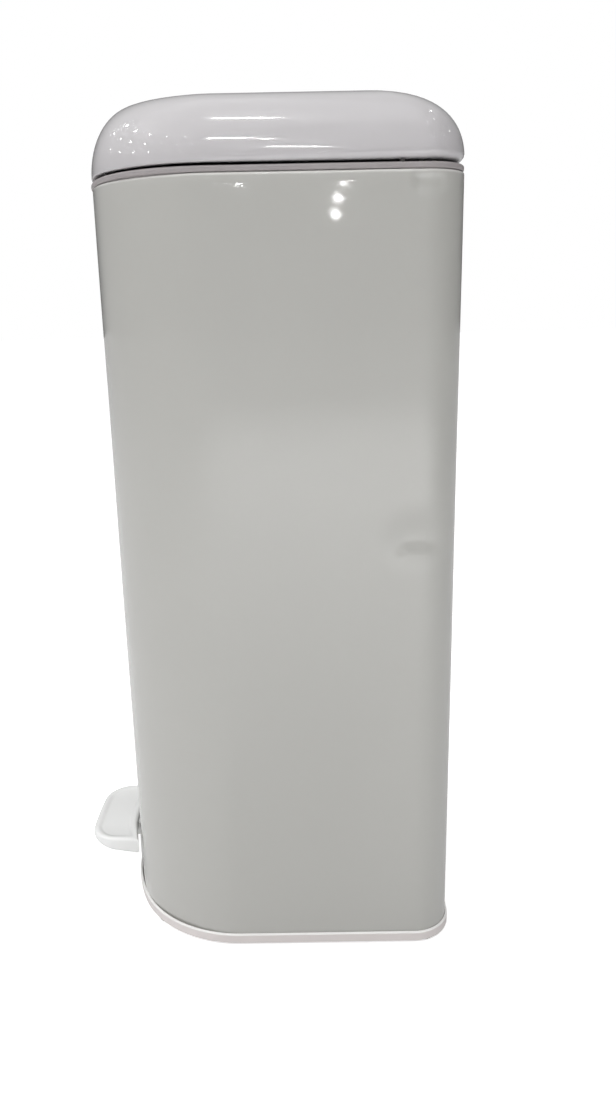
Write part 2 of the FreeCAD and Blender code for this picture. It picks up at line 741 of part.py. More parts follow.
def make_pivot_clips():
    """Two push-on clips that hold the pin between the posts."""
    start = lever_width / 2 + 2 + post_thick + 0.3
    clips = []
    for side in (1, -1):
        near, far = sorted((side * start, side * (start + 1.2)))
        clip = bar_x(pivot_pin + 3, near, far, pivot_y, pivot_height)
        clips.append(clip.cut(bar_x(pivot_pin + 0.02, near - 1, far + 1, pivot_y, pivot_height)))
    return clips


def make_pedal_screws():
    blank = screw(3.0, 2.0, screw_shaft, lever_sheet + 3)
    return [placed(blank, place + point(0, 0, pedal_floor_z - lever_sheet))
            for place in pedal_screw_places]


# ---- Bucket ----
def make_inner_bucket():
    """Tapered bucket that hangs by its flange on the collar's deck."""
    outer = Part.makeLoft([bucket_plan.wire(-bucket_taper, bucket_bottom),
                           bucket_plan.wire(0, bucket_rim)], True, True)
    inner = Part.makeLoft([bucket_plan.wire(-bucket_taper - bucket_wall,
                                            bucket_bottom + bucket_wall + 0.7),
                           bucket_plan.wire(-bucket_wall, bucket_rim + 0.2)], True, True)
    flange = bucket_plan.ring(bucket_flange, -0.5, bucket_rim - flange_thick, bucket_rim)
    flange = bucket_plan.rounded(flange, bucket_flange, bucket_rim, 0.8)
    bucket = joined(outer, flange).cut(inner)
    return bucket.cut(bar_x(bail_wire + shaft_play, -bucket_plan.half - 5, bucket_plan.half + 5,
                            bail_y, bail_z))


def make_bail_handle():
    """Wire bail that folds down inside the bucket's rim, its ends through the walls."""
    end_x = bucket_plan.half - bail_sunk
    bend = 4.0
    bend_x = bucket_plan.half - bucket_wall - 0.6
    arm_x = bend_x - bend
    bar_back = bail_y + bail_reach
    corner = bail_corner
    inner_bend = bend * (1 - math.sqrt(0.5))
    inner_corner = corner * (1 - math.sqrt(0.5))

    def side_edges(side):
        """One side, from the end in the wall to the straight bar."""
        def at(x, y):
            return point(side * x, y, bail_z)
        return [line(at(end_x, bail_y), at(bend_x, bail_y)),
                arc(at(bend_x, bail_y), at(arm_x + inner_bend, bail_y + inner_bend),
                    at(arm_x, bail_y + bend)),
                line(at(arm_x, bail_y + bend), at(arm_x, bar_back - corner)),
                arc(at(arm_x, bar_back - corner),
                    at(arm_x - inner_corner, bar_back - inner_corner),
                    at(arm_x - corner, bar_back))]

    right = side_edges(1)
    left = side_edges(-1)
    bar = line(point(arm_x - corner, bar_back, bail_z), point(corner - arm_x, bar_back, bail_z))
    return bent_bar(bail_wire, right + [bar] + left[::-1])


def make_bail_grip():
    back = bail_y + bail_reach
    grip = bar_x(grip_radius, -grip_length / 2, grip_length / 2, back, bail_z)
    grip = grip.makeFillet(2.5, [edge for edge in grip.Edges if edge.Closed])
    return grip.cut(bar_x(bail_wire + shaft_play, -grip_length, grip_length, back, bail_z))


os.makedirs("parts", exist_ok=True)
export("body_shell", make_body_shell())
export("base_tray", make_base_tray())
export("foot_pads", *make_foot_pads())
export("base_screws", *make_base_screws())
export("slot_trim", make_slot_trim())
export("collar_ring", make_collar_ring())
export("lid_bumpers", *make_lid_bumpers())
export("lid_shell", make_lid_shell())
export("lid_bracket", make_lid_bracket())
export("lid_screws", *make_lid_screws())
export("hinge_housing", make_hinge_housing())
export("hinge_pin", make_hinge_pin())
export("hinge_screws", *make_hinge_screws())
export("rod_rail", make_rod_rail())
export("push_rod", make_push_rod())
export("rod_cap", make_rod_cap())
export("damper_cylinder", make_damper_cylinder())
export("damper_cap", make_damper_cap())
export("damper_piston", make_damper_piston())
export("damper_link", make_damper_link())
export("pedal_cover", make_pedal_cover())
export("pedal_lever", make_pedal_lever())
export("pivot_bush", make_pivot_bush())
export("pivot_pin", make_pivot_pin())
export("pivot_clips", *make_pivot_clips())
export("pedal_screws", *make_pedal_screws())
export("inner_bucket", make_inner_bucket())
export("bail_handle", make_bail_handle())
export("bail_grip", make_bail_grip())

# What the joints need: the lid's axis, the pedal's pivot and angle, and the rod's travel.
pedal_angle = 2 * math.asin(rod_travel / 2 / math.hypot(rear_arm, lever_slope * rear_arm))
print("lid axis", round(hinge_y, 3), round(hinge_z, 3), "opening", lid_opening)
print("pedal axis", round(pivot_y, 3), round(pivot_height, 3),
      "angle", round(math.degrees(pedal_angle), 4))
print("rod travel", round(rod_travel, 4), "bail axis", round(bail_y, 3), round(bail_z, 3))
print("foot", round(foot_places[2].x, 3), round(foot_places[2].y, 3))
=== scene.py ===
import math
import bmesh
import bpy
from mathutils import Matrix, Vector


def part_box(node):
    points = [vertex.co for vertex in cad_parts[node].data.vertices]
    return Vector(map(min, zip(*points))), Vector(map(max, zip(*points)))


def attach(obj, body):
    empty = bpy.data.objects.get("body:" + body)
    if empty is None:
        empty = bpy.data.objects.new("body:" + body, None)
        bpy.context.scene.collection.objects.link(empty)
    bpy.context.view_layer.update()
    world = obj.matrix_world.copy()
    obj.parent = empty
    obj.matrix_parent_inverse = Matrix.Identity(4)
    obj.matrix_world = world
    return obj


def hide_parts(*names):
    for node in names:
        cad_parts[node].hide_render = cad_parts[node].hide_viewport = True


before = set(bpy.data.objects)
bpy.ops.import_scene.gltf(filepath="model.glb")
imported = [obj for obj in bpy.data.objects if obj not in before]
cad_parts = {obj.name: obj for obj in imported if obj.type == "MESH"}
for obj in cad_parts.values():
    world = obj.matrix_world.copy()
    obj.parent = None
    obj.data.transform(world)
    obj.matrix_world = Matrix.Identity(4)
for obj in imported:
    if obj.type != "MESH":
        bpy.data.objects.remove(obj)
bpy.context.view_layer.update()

# ---- Camera, floor and light -------------------------------------------------------------
# The bin stands on a pale floor in a white studio, which is dimmer behind the bin and low down.
# Small ceiling and hall lamps give the gloss its sparks, and broad soft lamps do the rest. For
# what the camera sees directly, the studio and the floor are lifted to white.
scene = bpy.context.scene
sleeve_low, sleeve_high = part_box("body_shell")
plan_middle = (sleeve_low.y + sleeve_high.y) / 2
ring_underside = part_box("base_tray")[0].z

eye = Vector((0.7504, plan_middle + 0.0272, ring_underside + 0.5144))
look_down = 0.2655
look_aside = -0.0044
roll = -0.0185
forward = Vector((-math.cos(look_down) * math.cos(look_aside),
                  math.cos(look_down) * math.sin(look_aside), -math.sin(look_down)))
level = forward.cross(Vector((0, 0, 1))).normalized()
upright = level.cross(forward)
side_way = level * math.cos(roll) + upright * math.sin(roll)
up_way = upright * math.cos(roll) - level * math.sin(roll)
camera_data = bpy.data.cameras.new("camera")
camera_data.sensor_width = 36
camera_data.lens = 29.195
camera_data.shift_x = 0.0011
camera_data.shift_y = -0.0011
camera = bpy.data.objects.new("camera", camera_data)
scene.collection.objects.link(camera)
turned = Matrix((side_way, up_way, -forward)).transposed()
camera.matrix_world = Matrix.Translation(eye) @ turned.to_4x4()
scene.camera = camera
scene.view_settings.view_transform = "Standard"

bpy.ops.object.select_all(action="DESELECT")
bpy.ops.mesh.primitive_plane_add(size=30)
floor = bpy.context.object
floor.name = "studio_floor"
floor_paint = bpy.data.materials.new("pale_floor")
floor_paint.use_nodes = True
shader = floor_paint.node_tree.nodes["Principled BSDF"]
shader.inputs["Base Color"].default_value = (0.84, 0.84, 0.84, 1)
shader.inputs["Roughness"].default_value = 0.9
shader.inputs["Specular IOR Level"].default_value = 0.1
shader.inputs["Emission Color"].default_value = (1, 1, 1, 1)
seen = floor_paint.node_tree.nodes.new("ShaderNodeLightPath")
lift = floor_paint.node_tree.nodes.new("ShaderNodeMath")
lift.operation = "MULTIPLY"
lift.inputs[1].default_value = 0.6
floor_paint.node_tree.links.new(seen.outputs["Is Camera Ray"], lift.inputs[0])
floor_paint.node_tree.links.new(lift.outputs["Value"], shader.inputs["Emission Strength"])
floor.data.materials.append(floor_paint)

world = bpy.data.worlds.new("studio")
world.use_nodes = True
scene.world = world
tree = world.node_tree
background = tree.nodes["Background"]
background.inputs["Color"].default_value = (1, 1, 1, 1)
direction = tree.nodes.new("ShaderNodeTexCoord")
split = tree.nodes.new("ShaderNodeSeparateXYZ")
tree.links.new(direction.outputs["Generated"], split.inputs["Vector"])
strength = None
for way, start, end, dim, full in (("X", -0.92, -0.55, 0.4, 1.0), ("Y", 0.15, 0.75, 0.95, 0.38),
                                   ("Z", 0.15, 0.75, 0.34, 0.92)):
    shade = tree.nodes.new("ShaderNodeMapRange")
    shade.inputs["From Min"].default_value = start
    shade.inputs["From Max"].default_value = end
    shade.inputs["To Min"].default_value = dim
    shade.inputs["To Max"].default_value = full
    tree.links.new(split.outputs[way], shade.inputs["Value"])
    if strength is None:
        strength = shade.outputs["Result"]
    else:
        product = tree.nodes.new("ShaderNodeMath")
        product.operation = "MULTIPLY"
        tree.links.new(strength, product.inputs[0])
        tree.links.new(shade.outputs["Result"], product.inputs[1])
        strength = product.outputs["Value"]
seen = tree.nodes.new("ShaderNodeLightPath")
choice = tree.nodes.new("ShaderNodeMath")
choice.operation = "MAXIMUM"
tree.links.new(strength, choice.inputs[0])
tree.links.new(seen.outputs["Is Camera Ray"], choice.inputs[1])
tree.links.new(choice.outputs["Value"], background.inputs["Strength"])


def add_lamp(name, place, target, width, height, power):
    """A soft rectangular lamp at place, turned towards target."""
    data = bpy.data.lights.new(name, "AREA")
    data.shape = "RECTANGLE"
    data.size = width
    data.size_y = height
    data.energy = power
    lamp = bpy.data.objects.new(name, data)
    scene.collection.objects.link(lamp)
    lamp.location = place
    lamp.rotation_euler = (Vector(target) - Vector(place)).to_track_quat("-Z", "Y").to_euler()
    lamp.visible_camera = False
    return lamp


add_lamp("overhead_softbox", (0.3, -0.6, 2.6), (0, 0, 0), 2.4, 2.4, 8)
front_softbox = add_lamp("front_softbox", (0.6, -2.2, 1.9), (0, 0, 0.2), 1.2, 1.2, 10)
front_softbox.visible_glossy = False

ceiling = 2.7
for out, aside, width in ((0.7, -0.18, 0.12), (0.72, -0.08, 0.1), (2.5, -0.31, 0.22),
                          (2.7, -0.12, 0.05), (4.1, -0.12, 0.1), (4.2, 0.0, 0.1),
                          (4.3, 0.12, 0.1), (4.5, 0.22, 0.06)):
    add_lamp("aisle_lamp", (out, aside, ceiling), (0, 0, 0.6), width, 0.05, 16 * width)
for away, first, last, count in ((2.4, -115, -35, 5), (3.4, -120, -25, 7), (5.0, -110, -20, 7),
                                 (1.3, 40, 120, 3), (2.8, 35, 100, 3)):
    for step in range(count):
        around = math.radians(first + (last - first) * step / (count - 1))
        add_lamp("ring_lamp", (away * math.cos(around), away * math.sin(around), ceiling),
                 (0, 0, 0.6), 0.06, 0.06, 0.9)
for aside, height in ((-0.95, 1.70), (-0.88, 1.58), (-0.64, 1.67), (-0.52, 1.56),
                      (0.42, 1.72), (0.36, 1.57), (0.31, 1.42), (0.28, 1.28)):
    add_lamp("hall_lamp", (8, aside, height), (0, 0, 0.6), 0.045, 0.04, 0.6)

# Window light falls on the floor behind the camera, so the sleeve has a bright floor to mirror.
window_light = add_lamp("window_light", (2.4, 0.45, 1.8), (2.4, 0.45, 0), 2.2, 2.6, 38)
window_light.data.spread = 1.7
window_light.visible_glossy = False

# ---- Sleeve ------------------------------------------------------------------------------
# One painted steel sheet, bent round a bowed front and closed at the back. Its top edge is
# rolled inwards into a hem, its bottom is folded in, and the lever's slot is cut in front.
front_corner = 0.0965
front_bow = 0.1525
rear_corner = 0.029
sheet = 0.0008
hem_radius = 0.0016
hem_tail = 0.0034
bottom_fold = 0.011
half = sleeve_high.x


def deselected():
    """Leaves edit mode and deselects every object."""
    if bpy.context.object and bpy.context.object.mode == "EDIT":
        bpy.ops.object.mode_set(mode="OBJECT")
    bpy.ops.object.select_all(action="DESELECT")


def pick(test, kind="VERT"):
    """In edit mode, selects just the vertices, edges or faces whose middle passes the test."""
    bpy.ops.mesh.select_mode(type=kind)
    bpy.ops.mesh.select_all(action="DESELECT")
    mesh = bmesh.from_edit_mesh(bpy.context.object.data)
    for item in {"VERT": mesh.verts, "EDGE": mesh.edges, "FACE": mesh.faces}[kind]:
        if kind == "VERT":
            chosen = test(item.co)
        elif kind == "EDGE":
            ends = [v.co for v in item.verts]
            chosen = test((ends[0] + ends[1]) / 2, ends[1] - ends[0])
        else:
            chosen = test(item.calc_center_median(), item.normal)
        item.select_set(bool(chosen))
    mesh.select_flush_mode()
    bmesh.update_edit_mesh(bpy.context.object.data)


def add_plan_block(name, out, low, high, fine=1.0):
    """A block with the sleeve's plan moved outwards by out, left in edit mode.

    It starts as a cube whose front is drawn to a point, and its upright edges are rounded."""
    wide = half + out
    front = sleeve_low.y - out
    rear = sleeve_high.y + out
    corner = front_corner + out
    bow = front_bow + out
    turn = math.asin((wide - corner) / (bow - corner))
    point_y = front + bow - bow / math.cos(turn)
    shoulder_y = point_y + wide * math.tan(turn)
    deselected()
    bpy.ops.mesh.primitive_cube_add(size=1, location=(0, (shoulder_y + rear) / 2, (low + high) / 2))
    block = bpy.context.object
    block.name = name
    block.scale = (2 * wide, rear - shoulder_y, high - low)
    bpy.ops.object.transform_apply(location=True, rotation=True, scale=True)
    bpy.ops.object.mode_set(mode="EDIT")
    bpy.ops.mesh.select_all(action="SELECT")
    bpy.ops.mesh.bisect(plane_co=(0, 0, 0), plane_no=(1, 0, 0))
    pick(lambda v: abs(v.x) < 1e-5 and v.y < shoulder_y + 1e-4)
    bpy.ops.transform.translate(value=(0, point_y - shoulder_y, 0))

    def round_upright(test, offset, segments):
        pick(lambda middle, along: abs(along.z) > 0.9 * (high - low) and test(middle), "EDGE")
        bpy.ops.mesh.bevel(offset_type="OFFSET", offset=offset, segments=segments,
                           profile=0.5, affect="EDGES", clamp_overlap=False)

    round_upright(lambda m: m.y < shoulder_y - 1e-4, bow * math.tan(turn) * 0.9999,
                  round(20 * fine))
    round_upright(lambda m: abs(abs(m.x) - wide) < 1e-4 and m.y < shoulder_y + 1e-4,
                  corner * math.tan((math.pi / 2 - turn) / 2) * 0.9999, round(20 * fine))
    round_upright(lambda m: abs(abs(m.x) - wide) < 1e-4 and m.y > rear - 1e-4,
                  rear_corner + out, round(12 * fine))
    bpy.ops.mesh.select_all(action="SELECT")
    bpy.ops.mesh.remove_doubles(threshold=1e-4)
    return block


def open_ends():
    """Takes the flat ends off the block, with the edges that crossed them."""
    pick(lambda middle, normal: abs(normal.z) > 0.9, "FACE")
    bpy.ops.mesh.delete(type="ONLY_FACE")
    bpy.ops.mesh.select_all(action="SELECT")
    bpy.ops.mesh.delete_loose(use_verts=True, use_edges=True, use_faces=False)


def extrude_loop(rise, draw_in, middle_y, wide, deep):
    """Extrudes the selected rim by rise and draws it in by draw_in on every side."""
    bpy.ops.mesh.extrude_region_move(TRANSFORM_OT_translate={"value": (0, 0, rise)})
    if draw_in:
        bpy.ops.transform.resize(value=(1 - draw_in / wide, 1 - draw_in / deep, 1),
                                 center_override=(0, middle_y, 0))


def finished(piece, body, slot, material, *nodes, smooth=40):
    """Shades the piece, gives it its material and hands it to its body."""
    deselected()
    piece.select_set(True)
    bpy.context.view_layer.objects.active = piece
    bpy.ops.object.shade_smooth_by_angle(angle=math.radians(smooth))
    piece.data.materials.clear()
    piece.data.materials.append(material)
    if nodes:
        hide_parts(*nodes)
    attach(piece, body)


def applied(piece, kind, **settings):
    """Adds a modifier with these settings and applies it."""
    deselected()
    piece.select_set(True)
    bpy.context.view_layer.objects.active = piece
    modifier = piece.modifiers.new(kind.lower(), kind)
    for name, value in settings.items():
        setattr(modifier, name, value)
    bpy.ops.object.modifier_apply(modifier=modifier.name)


sleeve = add_plan_block("body_shell_sleeve", 0, sleeve_low.z, sleeve_high.z - hem_radius)
open_ends()
pick(lambda middle, along: abs(along.z) > 0.5, "EDGE")
bpy.ops.mesh.subdivide(number_cuts=118)
pick(lambda middle, along: abs(along.z) < 1e-6 and along.length > 0.1 and abs(middle.x) > 0.1,
     "EDGE")
bpy.ops.mesh.subdivide(number_cuts=27)
pick(lambda middle, along: abs(along.z) < 1e-6 and along.length > 0.08 and abs(middle.x) < 0.1,
     "EDGE")
bpy.ops.mesh.subdivide(number_cuts=17)

slot_low, slot_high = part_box("slot_trim")
slot_border = 0.0026
window = {"x": slot_high.x - slot_border, "low": slot_low.z + slot_border,
          "high": slot_high.z - slot_border}


def in_front(middle, normal):
    return middle.y < sleeve_low.y + 0.02 and slot_low.z - 0.02 < middle.z < slot_high.z + 0.02


for plane_co, plane_no in (((window["x"], 0, 0), (1, 0, 0)), ((-window["x"], 0, 0), (1, 0, 0)),
                           ((0, 0, window["low"]), (0, 0, 1)), ((0, 0, window["high"]), (0, 0, 1))):
    pick(in_front, "FACE")
    bpy.ops.mesh.bisect(plane_co=plane_co, plane_no=plane_no)
pick(lambda middle, normal: middle.y < sleeve_low.y + 0.02 and abs(middle.x) < window["x"]
     and window["low"] < middle.z < window["high"], "FACE")
bpy.ops.mesh.delete(type="FACE")

dents = [  # height, from, to, reach, depth, falloff: a push with a crease, and one under the hem
    (0.3480, 0.1160, 0.1270, 0.026, 0.0022, "SMOOTH"),
    (0.3375, 0.1150, 0.1300, 0.012, -0.0011, "SHARP"),
    (0.5935, 0.1200, 0.1330, 0.009, 0.0016, "SMOOTH"),
]
for height, start, end, reach, depth, falloff in dents:
    pick(lambda middle, normal: middle.x > 0.1 and abs(middle.z - height) < reach + 0.004
         and start - reach < middle.y < end + reach, "FACE")
    bpy.ops.mesh.subdivide(number_cuts=2)
    level_step = 0.0014
    pick(lambda v: v.x > 0.1 and abs(v.z - height) < level_step and start < v.y < end)
    bpy.ops.transform.translate(value=(-depth, 0, 0), use_proportional_edit=True,
                                proportional_edit_falloff=falloff, proportional_size=reach)

plan_deep = (sleeve_high.y - sleeve_low.y) / 2
rim_z = sleeve_high.z - hem_radius
pick(lambda middle, along: abs(middle.z - rim_z) < 1e-5 and abs(along.z) < 1e-6, "EDGE")
for step in range(1, 7):
    now = math.pi * step / 6
    before = math.pi * (step - 1) / 6
    extrude_loop(hem_radius * (math.sin(now) - math.sin(before)),
                 hem_radius * (math.cos(before) - math.cos(now)), plan_middle, half, plan_deep)
extrude_loop(-hem_tail, 0, plan_middle, half, plan_deep)
pick(lambda middle, along: abs(middle.z - sleeve_low.z) < 1e-5 and abs(along.z) < 1e-6, "EDGE")
extrude_loop(0, bottom_fold, plan_middle, half, plan_deep)
bpy.ops.object.mode_set(mode="OBJECT")
ripple = bpy.data.textures.new("sheet_ripple", "CLOUDS")
ripple.noise_basis = "IMPROVED_PERLIN"
ripple.noise_scale = 0.16
ripple.noise_depth = 0
applied(sleeve, "DISPLACE", texture=ripple, strength=0.0006, mid_level=0.5,
        texture_coords="LOCAL")
applied(sleeve, "SOLIDIFY", thickness=sheet, offset=-1)


def new_material(name, base, roughness, metallic=0.0):
    """A node material. Returns it with its node tree and its shader."""
    material = bpy.data.materials.new(name)
    material.use_nodes = True
    shader = material.node_tree.nodes["Principled BSDF"]
    shader.inputs["Base Color"].default_value = (*base, 1)
    shader.inputs["Roughness"].default_value = roughness
    shader.inputs["Metallic"].default_value = metallic
    return material, material.node_tree, shader


def noise(tree, scale, stretch=(1, 1, 1), detail=2.0):
    """A noise pattern in the piece's own metres. Returns the node."""
    place = tree.nodes.new("ShaderNodeTexCoord")
    turn = tree.nodes.new("ShaderNodeMapping")
    pattern = tree.nodes.new("ShaderNodeTexNoise")
    turn.inputs["Scale"].default_value = stretch
    pattern.inputs["Scale"].default_value = scale
    pattern.inputs["Detail"].default_value = detail
    tree.links.new(place.outputs["Object"], turn.inputs["Vector"])
    tree.links.new(turn.outputs["Vector"], pattern.inputs["Vector"])
    return pattern


def two_tones(tree, pattern, dark, light, socket, low=0.2, high=0.8):
    """Colours a socket between two tones by a pattern."""
    ramp = tree.nodes.new("ShaderNodeValToRGB")
    ramp.color_ramp.elements[0].position = low
    ramp.color_ramp.elements[1].position = high
    ramp.color_ramp.elements[0].color = (*dark, 1)
    ramp.color_ramp.elements[1].color = (*light, 1)
    tree.links.new(pattern.outputs["Fac"], ramp.inputs["Fac"])
    tree.links.new(ramp.outputs["Color"], socket)
    return ramp


def vary_roughness(tree, shader, pattern, low, high):
    """Spreads the roughness between two values by a pattern."""
    spread = tree.nodes.new("ShaderNodeMapRange")
    spread.inputs["To Min"].default_value = low
    spread.inputs["To Max"].default_value = high
    tree.links.new(pattern.outputs["Fac"], spread.inputs["Value"])
    tree.links.new(spread.outputs["Result"], shader.inputs["Roughness"])


def bumped(tree, shader, pattern, height, strength=1.0):
    """Raises the surface by a pattern, height in metres."""
    bump = tree.nodes.new("ShaderNodeBump")
    bump.inputs["Distance"].default_value = height
    bump.inputs["Strength"].default_value = strength
    tree.links.new(pattern.outputs["Fac"], bump.inputs["Height"])
    tree.links.new(bump.outputs["Normal"], shader.inputs["Normal"])


def painted_highlight_band(tree, shader, start, end, light):
    """Paints a highlight into the base colour from one height to another, along an edge that catches
    the light.
    """
    colour = shader.inputs["Base Color"]
    tint = colour.links[0].from_socket
    place = tree.nodes.new("ShaderNodeTexCoord")
    height = tree.nodes.new("ShaderNodeSeparateXYZ")
    edge = tree.nodes.new("ShaderNodeMapRange")
    blend = tree.nodes.new("ShaderNodeMix")
    blend.data_type = "RGBA"
    edge.inputs["From Min"].default_value = start
    edge.inputs["From Max"].default_value = end
    blend.inputs["B"].default_value = (*light, 1)
    tree.links.new(place.outputs["Object"], height.inputs["Vector"])
    tree.links.new(height.outputs["Z"], edge.inputs["Value"])
    tree.links.new(edge.outputs["Result"], blend.inputs["Factor"])
    tree.links.new(tint, blend.inputs["A"])
    tree.links.new(blend.outputs["Result"], colour)


sleeve_paint, tree, shader = new_material("sleeve_gloss_paint", (0.44, 0.435, 0.415), 0.3)
two_tones(tree, noise(tree, 5, (1, 1, 0.5)), (0.428, 0.424, 0.402), (0.456, 0.452, 0.430),
          shader.inputs["Base Color"])
# Painted highlight: the rounded top of the hem is lightened, standing in for light caught from above.
painted_highlight_band(tree, shader, sleeve_high.z - 0.0024, sleeve_high.z - 0.0012, (0.6, 0.59, 0.57))
vary_roughness(tree, shader, noise(tree, 9, (1, 1, 0.4)), 0.29, 0.38)
bumped(tree, shader, noise(tree, 700), 0.00002, 0.4)
shader.inputs["Coat Weight"].default_value = 1.0
shader.inputs["Coat Roughness"].default_value = 0.04
finished(sleeve, "bin", "sleeve_paint", sleeve_paint, "body_shell")

# ---- Lid shell ---------------------------------------------------------------------------
# A satin plastic moulding: upright at its edge, then drawn in to a nearly flat top. The edge
# is thicker than the wall, curls in at the back, and is notched for the two hinge arms.
lid_low, lid_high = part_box("lid_shell")
lid_wall = 0.0025
lid_edge = 0.004
edge_round = 0.001
crown = 0.001
draws = {"side": 0.046, "front": 0.035, "rear": 0.057}
rear_fullness = 1.15
rings = 24


def dome_size(angle, shrink):
    """Half width, half depth, middle y and height of the dome's outline at this angle."""
    inset = 1 - math.cos(angle)
    front = draws["front"] * inset
    rear = draws["rear"] * inset ** rear_fullness
    wide = half - draws["side"] * inset - shrink
    deep = plan_deep - (front + rear) / 2 - shrink
    middle_y = plan_middle + (front - rear) / 2
    return wide, deep, middle_y, lid_low.z + (lid_high.z - crown - shrink - lid_low.z) * math.sin(angle)


def move_loop(before, after, extrude=True):
    """Takes the selected loop from one dome_size to another, leaving a new band behind it."""
    shift = (0, after[2] - before[2], after[3] - before[3])
    if extrude:
        bpy.ops.mesh.extrude_region_move(TRANSFORM_OT_translate={"value": shift})
    else:
        bpy.ops.transform.translate(value=shift)
    bpy.ops.transform.resize(value=(after[0] / before[0], after[1] / before[1], 1),
                             center_override=(0, after[2], 0))


def raise_dome(place, shrink, start):
    """Draws the selected loop up over the dome and closes it at the crown."""
    for ring in range(start, rings + 1):
        after = dome_size(math.pi / 2 * (ring / rings) ** 1.3, shrink)
        move_loop(place, after, ring > 1)
        place = after
    for share in (0.85, 0.7, 0.5, 0.3, 0.12):
        wide, deep, middle_y, top = dome_size(math.pi / 2, shrink)
        after = (wide * share, deep * share, middle_y, top + crown * (1 - share ** 2))
        move_loop(place, after)
        place = after
    bpy.ops.mesh.edge_face_add()


lid = add_plan_block("lid_shell_dome", 0, lid_low.z + edge_round, lid_low.z + 2 * edge_round, 1.5)
open_ends()
pick(lambda v: v.z > lid_low.z + 1.5 * edge_round)
raise_dome((half, plan_deep, plan_middle, lid_low.z + 2 * edge_round), 0, 1)
pick(lambda v: abs(v.z - lid_low.z - edge_round) < 1e-5)
for step in range(1, 4):
    now = math.pi / 2 * step / 3
    before = math.pi / 2 * (step - 1) / 3
    extrude_loop(edge_round * (math.sin(before) - math.sin(now)),
                 edge_round * (math.cos(before) - math.cos(now)), plan_middle, half, plan_deep)
extrude_loop(0, lid_edge - edge_round, plan_middle, half, plan_deep)
extrude_loop(0.0018, 0, plan_middle, half, plan_deep)
extrude_loop(0.0017, 0, plan_middle, half, plan_deep)
extrude_loop(0, lid_wall - lid_edge, plan_middle, half, plan_deep)
raise_dome((half - lid_wall, plan_deep - lid_wall, plan_middle, lid_low.z + 0.0035), lid_wall, 3)
bpy.ops.mesh.select_all(action="SELECT")
bpy.ops.mesh.normals_make_consistent(inside=False)
bpy.ops.object.mode_set(mode="OBJECT")

curl = {"in": 0.006, "up": 0.0055, "from": 0.05, "to": 0.125}
corner_x = half - rear_corner
corner_y = sleeve_high.y - rear_corner
for vertex in lid.data.vertices:
    rise = max(0, (vertex.co.z - lid_low.z) / curl["up"])
    fade = min(1, max(0, (vertex.co.y - curl["from"]) / (curl["to"] - curl["from"])))
    if rise < 1 and fade > 0:
        drawn = curl["in"] * (1 - math.sqrt(1 - (1 - rise) ** 2)) * fade ** 2 * (3 - 2 * fade)
        away = Vector((max(0, abs(vertex.co.x) - corner_x), max(0, vertex.co.y - corner_y)))
        away.normalize()
        vertex.co.x -= math.copysign(away.x * drawn, vertex.co.x)
        vertex.co.y -= away.y * drawn


def cut_box(piece, low, high):
    """Cuts a box out of the piece."""
    deselected()
    bpy.ops.mesh.primitive_cube_add(size=1, location=(Vector(low) + Vector(high)) / 2)
    cutter = bpy.context.object
    cutter.scale = Vector(high) - Vector(low)
    bpy.ops.object.transform_apply(location=True, rotation=True, scale=True)
    applied(piece, "BOOLEAN", object=cutter, operation="DIFFERENCE", solver="EXACT")
    bpy.data.objects.remove(cutter)


notch = {"near": 0.0138, "far": 0.0232, "deep": 0.0115, "behind": 0.01, "below": 0.002, "high": 0.007}
for side in (1, -1):
    near, far = sorted((side * notch["near"], side * notch["far"]))
    cut_box(lid, (near, sleeve_high.y - notch["deep"], lid_low.z - notch["below"]),
            (far, sleeve_high.y + notch["behind"], lid_low.z + notch["high"]))

lid_plastic, tree, shader = new_material("lid_satin_plastic", (0.5, 0.483, 0.495), 0.3)
two_tones(tree, noise(tree, 14), (0.485, 0.469, 0.481), (0.515, 0.499, 0.511),
          shader.inputs["Base Color"])
vary_roughness(tree, shader, noise(tree, 40), 0.29, 0.38)
bumped(tree, shader, noise(tree, 1400, detail=1), 0.000012, 0.5)
shader.inputs["Coat Weight"].default_value = 1.0
shader.inputs["Coat Roughness"].default_value = 0.06
finished(lid, "lid", "lid_plastic", lid_plastic, "lid_shell")

# ---- Pedal cover -------------------------------------------------------------------------
# White moulded tread, screwed to the lever from below. Round front corners, a raised bead
# round a shallow dish, a skirt that deepens towards the bin, and a hollow underside.
tread_low, tread_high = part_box("pedal_cover")
tread_half = 0.048
tread_narrowing = 0.002
tread_corner = 0.023
tip_bow = 0.002
tip_depth = 0.008
root_depth = tread_high.z - tread_low.z
root_gap = 0.0025
bead = 0.005
dish_step = 0.001
top_round = 0.0028
skirt_round = 0.0044
tread_ceiling = tread_high.z - 0.0055
tip_margin = 0.0002
tip_y = tread_low.y + tip_margin
root_y = sleeve_low.y - root_gap
root_bow = front_bow + root_gap

deselected()
bpy.ops.mesh.primitive_cube_add(size=1, location=(0, (tip_y + root_y) / 2,
                                                  tread_high.z - tip_depth / 2))
tread = bpy.context.object
tread.name = "pedal_cover_tread"
tread.scale = (2 * tread_half, root_y - tip_y, tip_depth)
bpy.ops.object.transform_apply(location=True, rotation=True, scale=True)
bpy.ops.object.mode_set(mode="EDIT")
pick(lambda middle, along: abs(along.z) > 0.5 * tip_depth and middle.y < tip_y + 1e-4, "EDGE")
bpy.ops.mesh.bevel(offset=tread_corner, segments=16, affect="EDGES", clamp_overlap=False)
for step in range(-5, 6):
    bpy.ops.mesh.select_all(action="SELECT")
    bpy.ops.mesh.bisect(plane_co=(step * 0.0042, 0, 0), plane_no=(1, 0, 0))
bpy.ops.mesh.select_all(action="SELECT")
bpy.ops.mesh.remove_doubles(threshold=2e-4)
bpy.ops.object.mode_set(mode="OBJECT")


def skirt_z(y):
    """Height of the skirt's lower edge, which falls towards the bin."""
    share = min(1, (y - tip_y) / (root_y - tip_y))
    return tread_high.z - tip_depth - (root_depth - tip_depth) * share


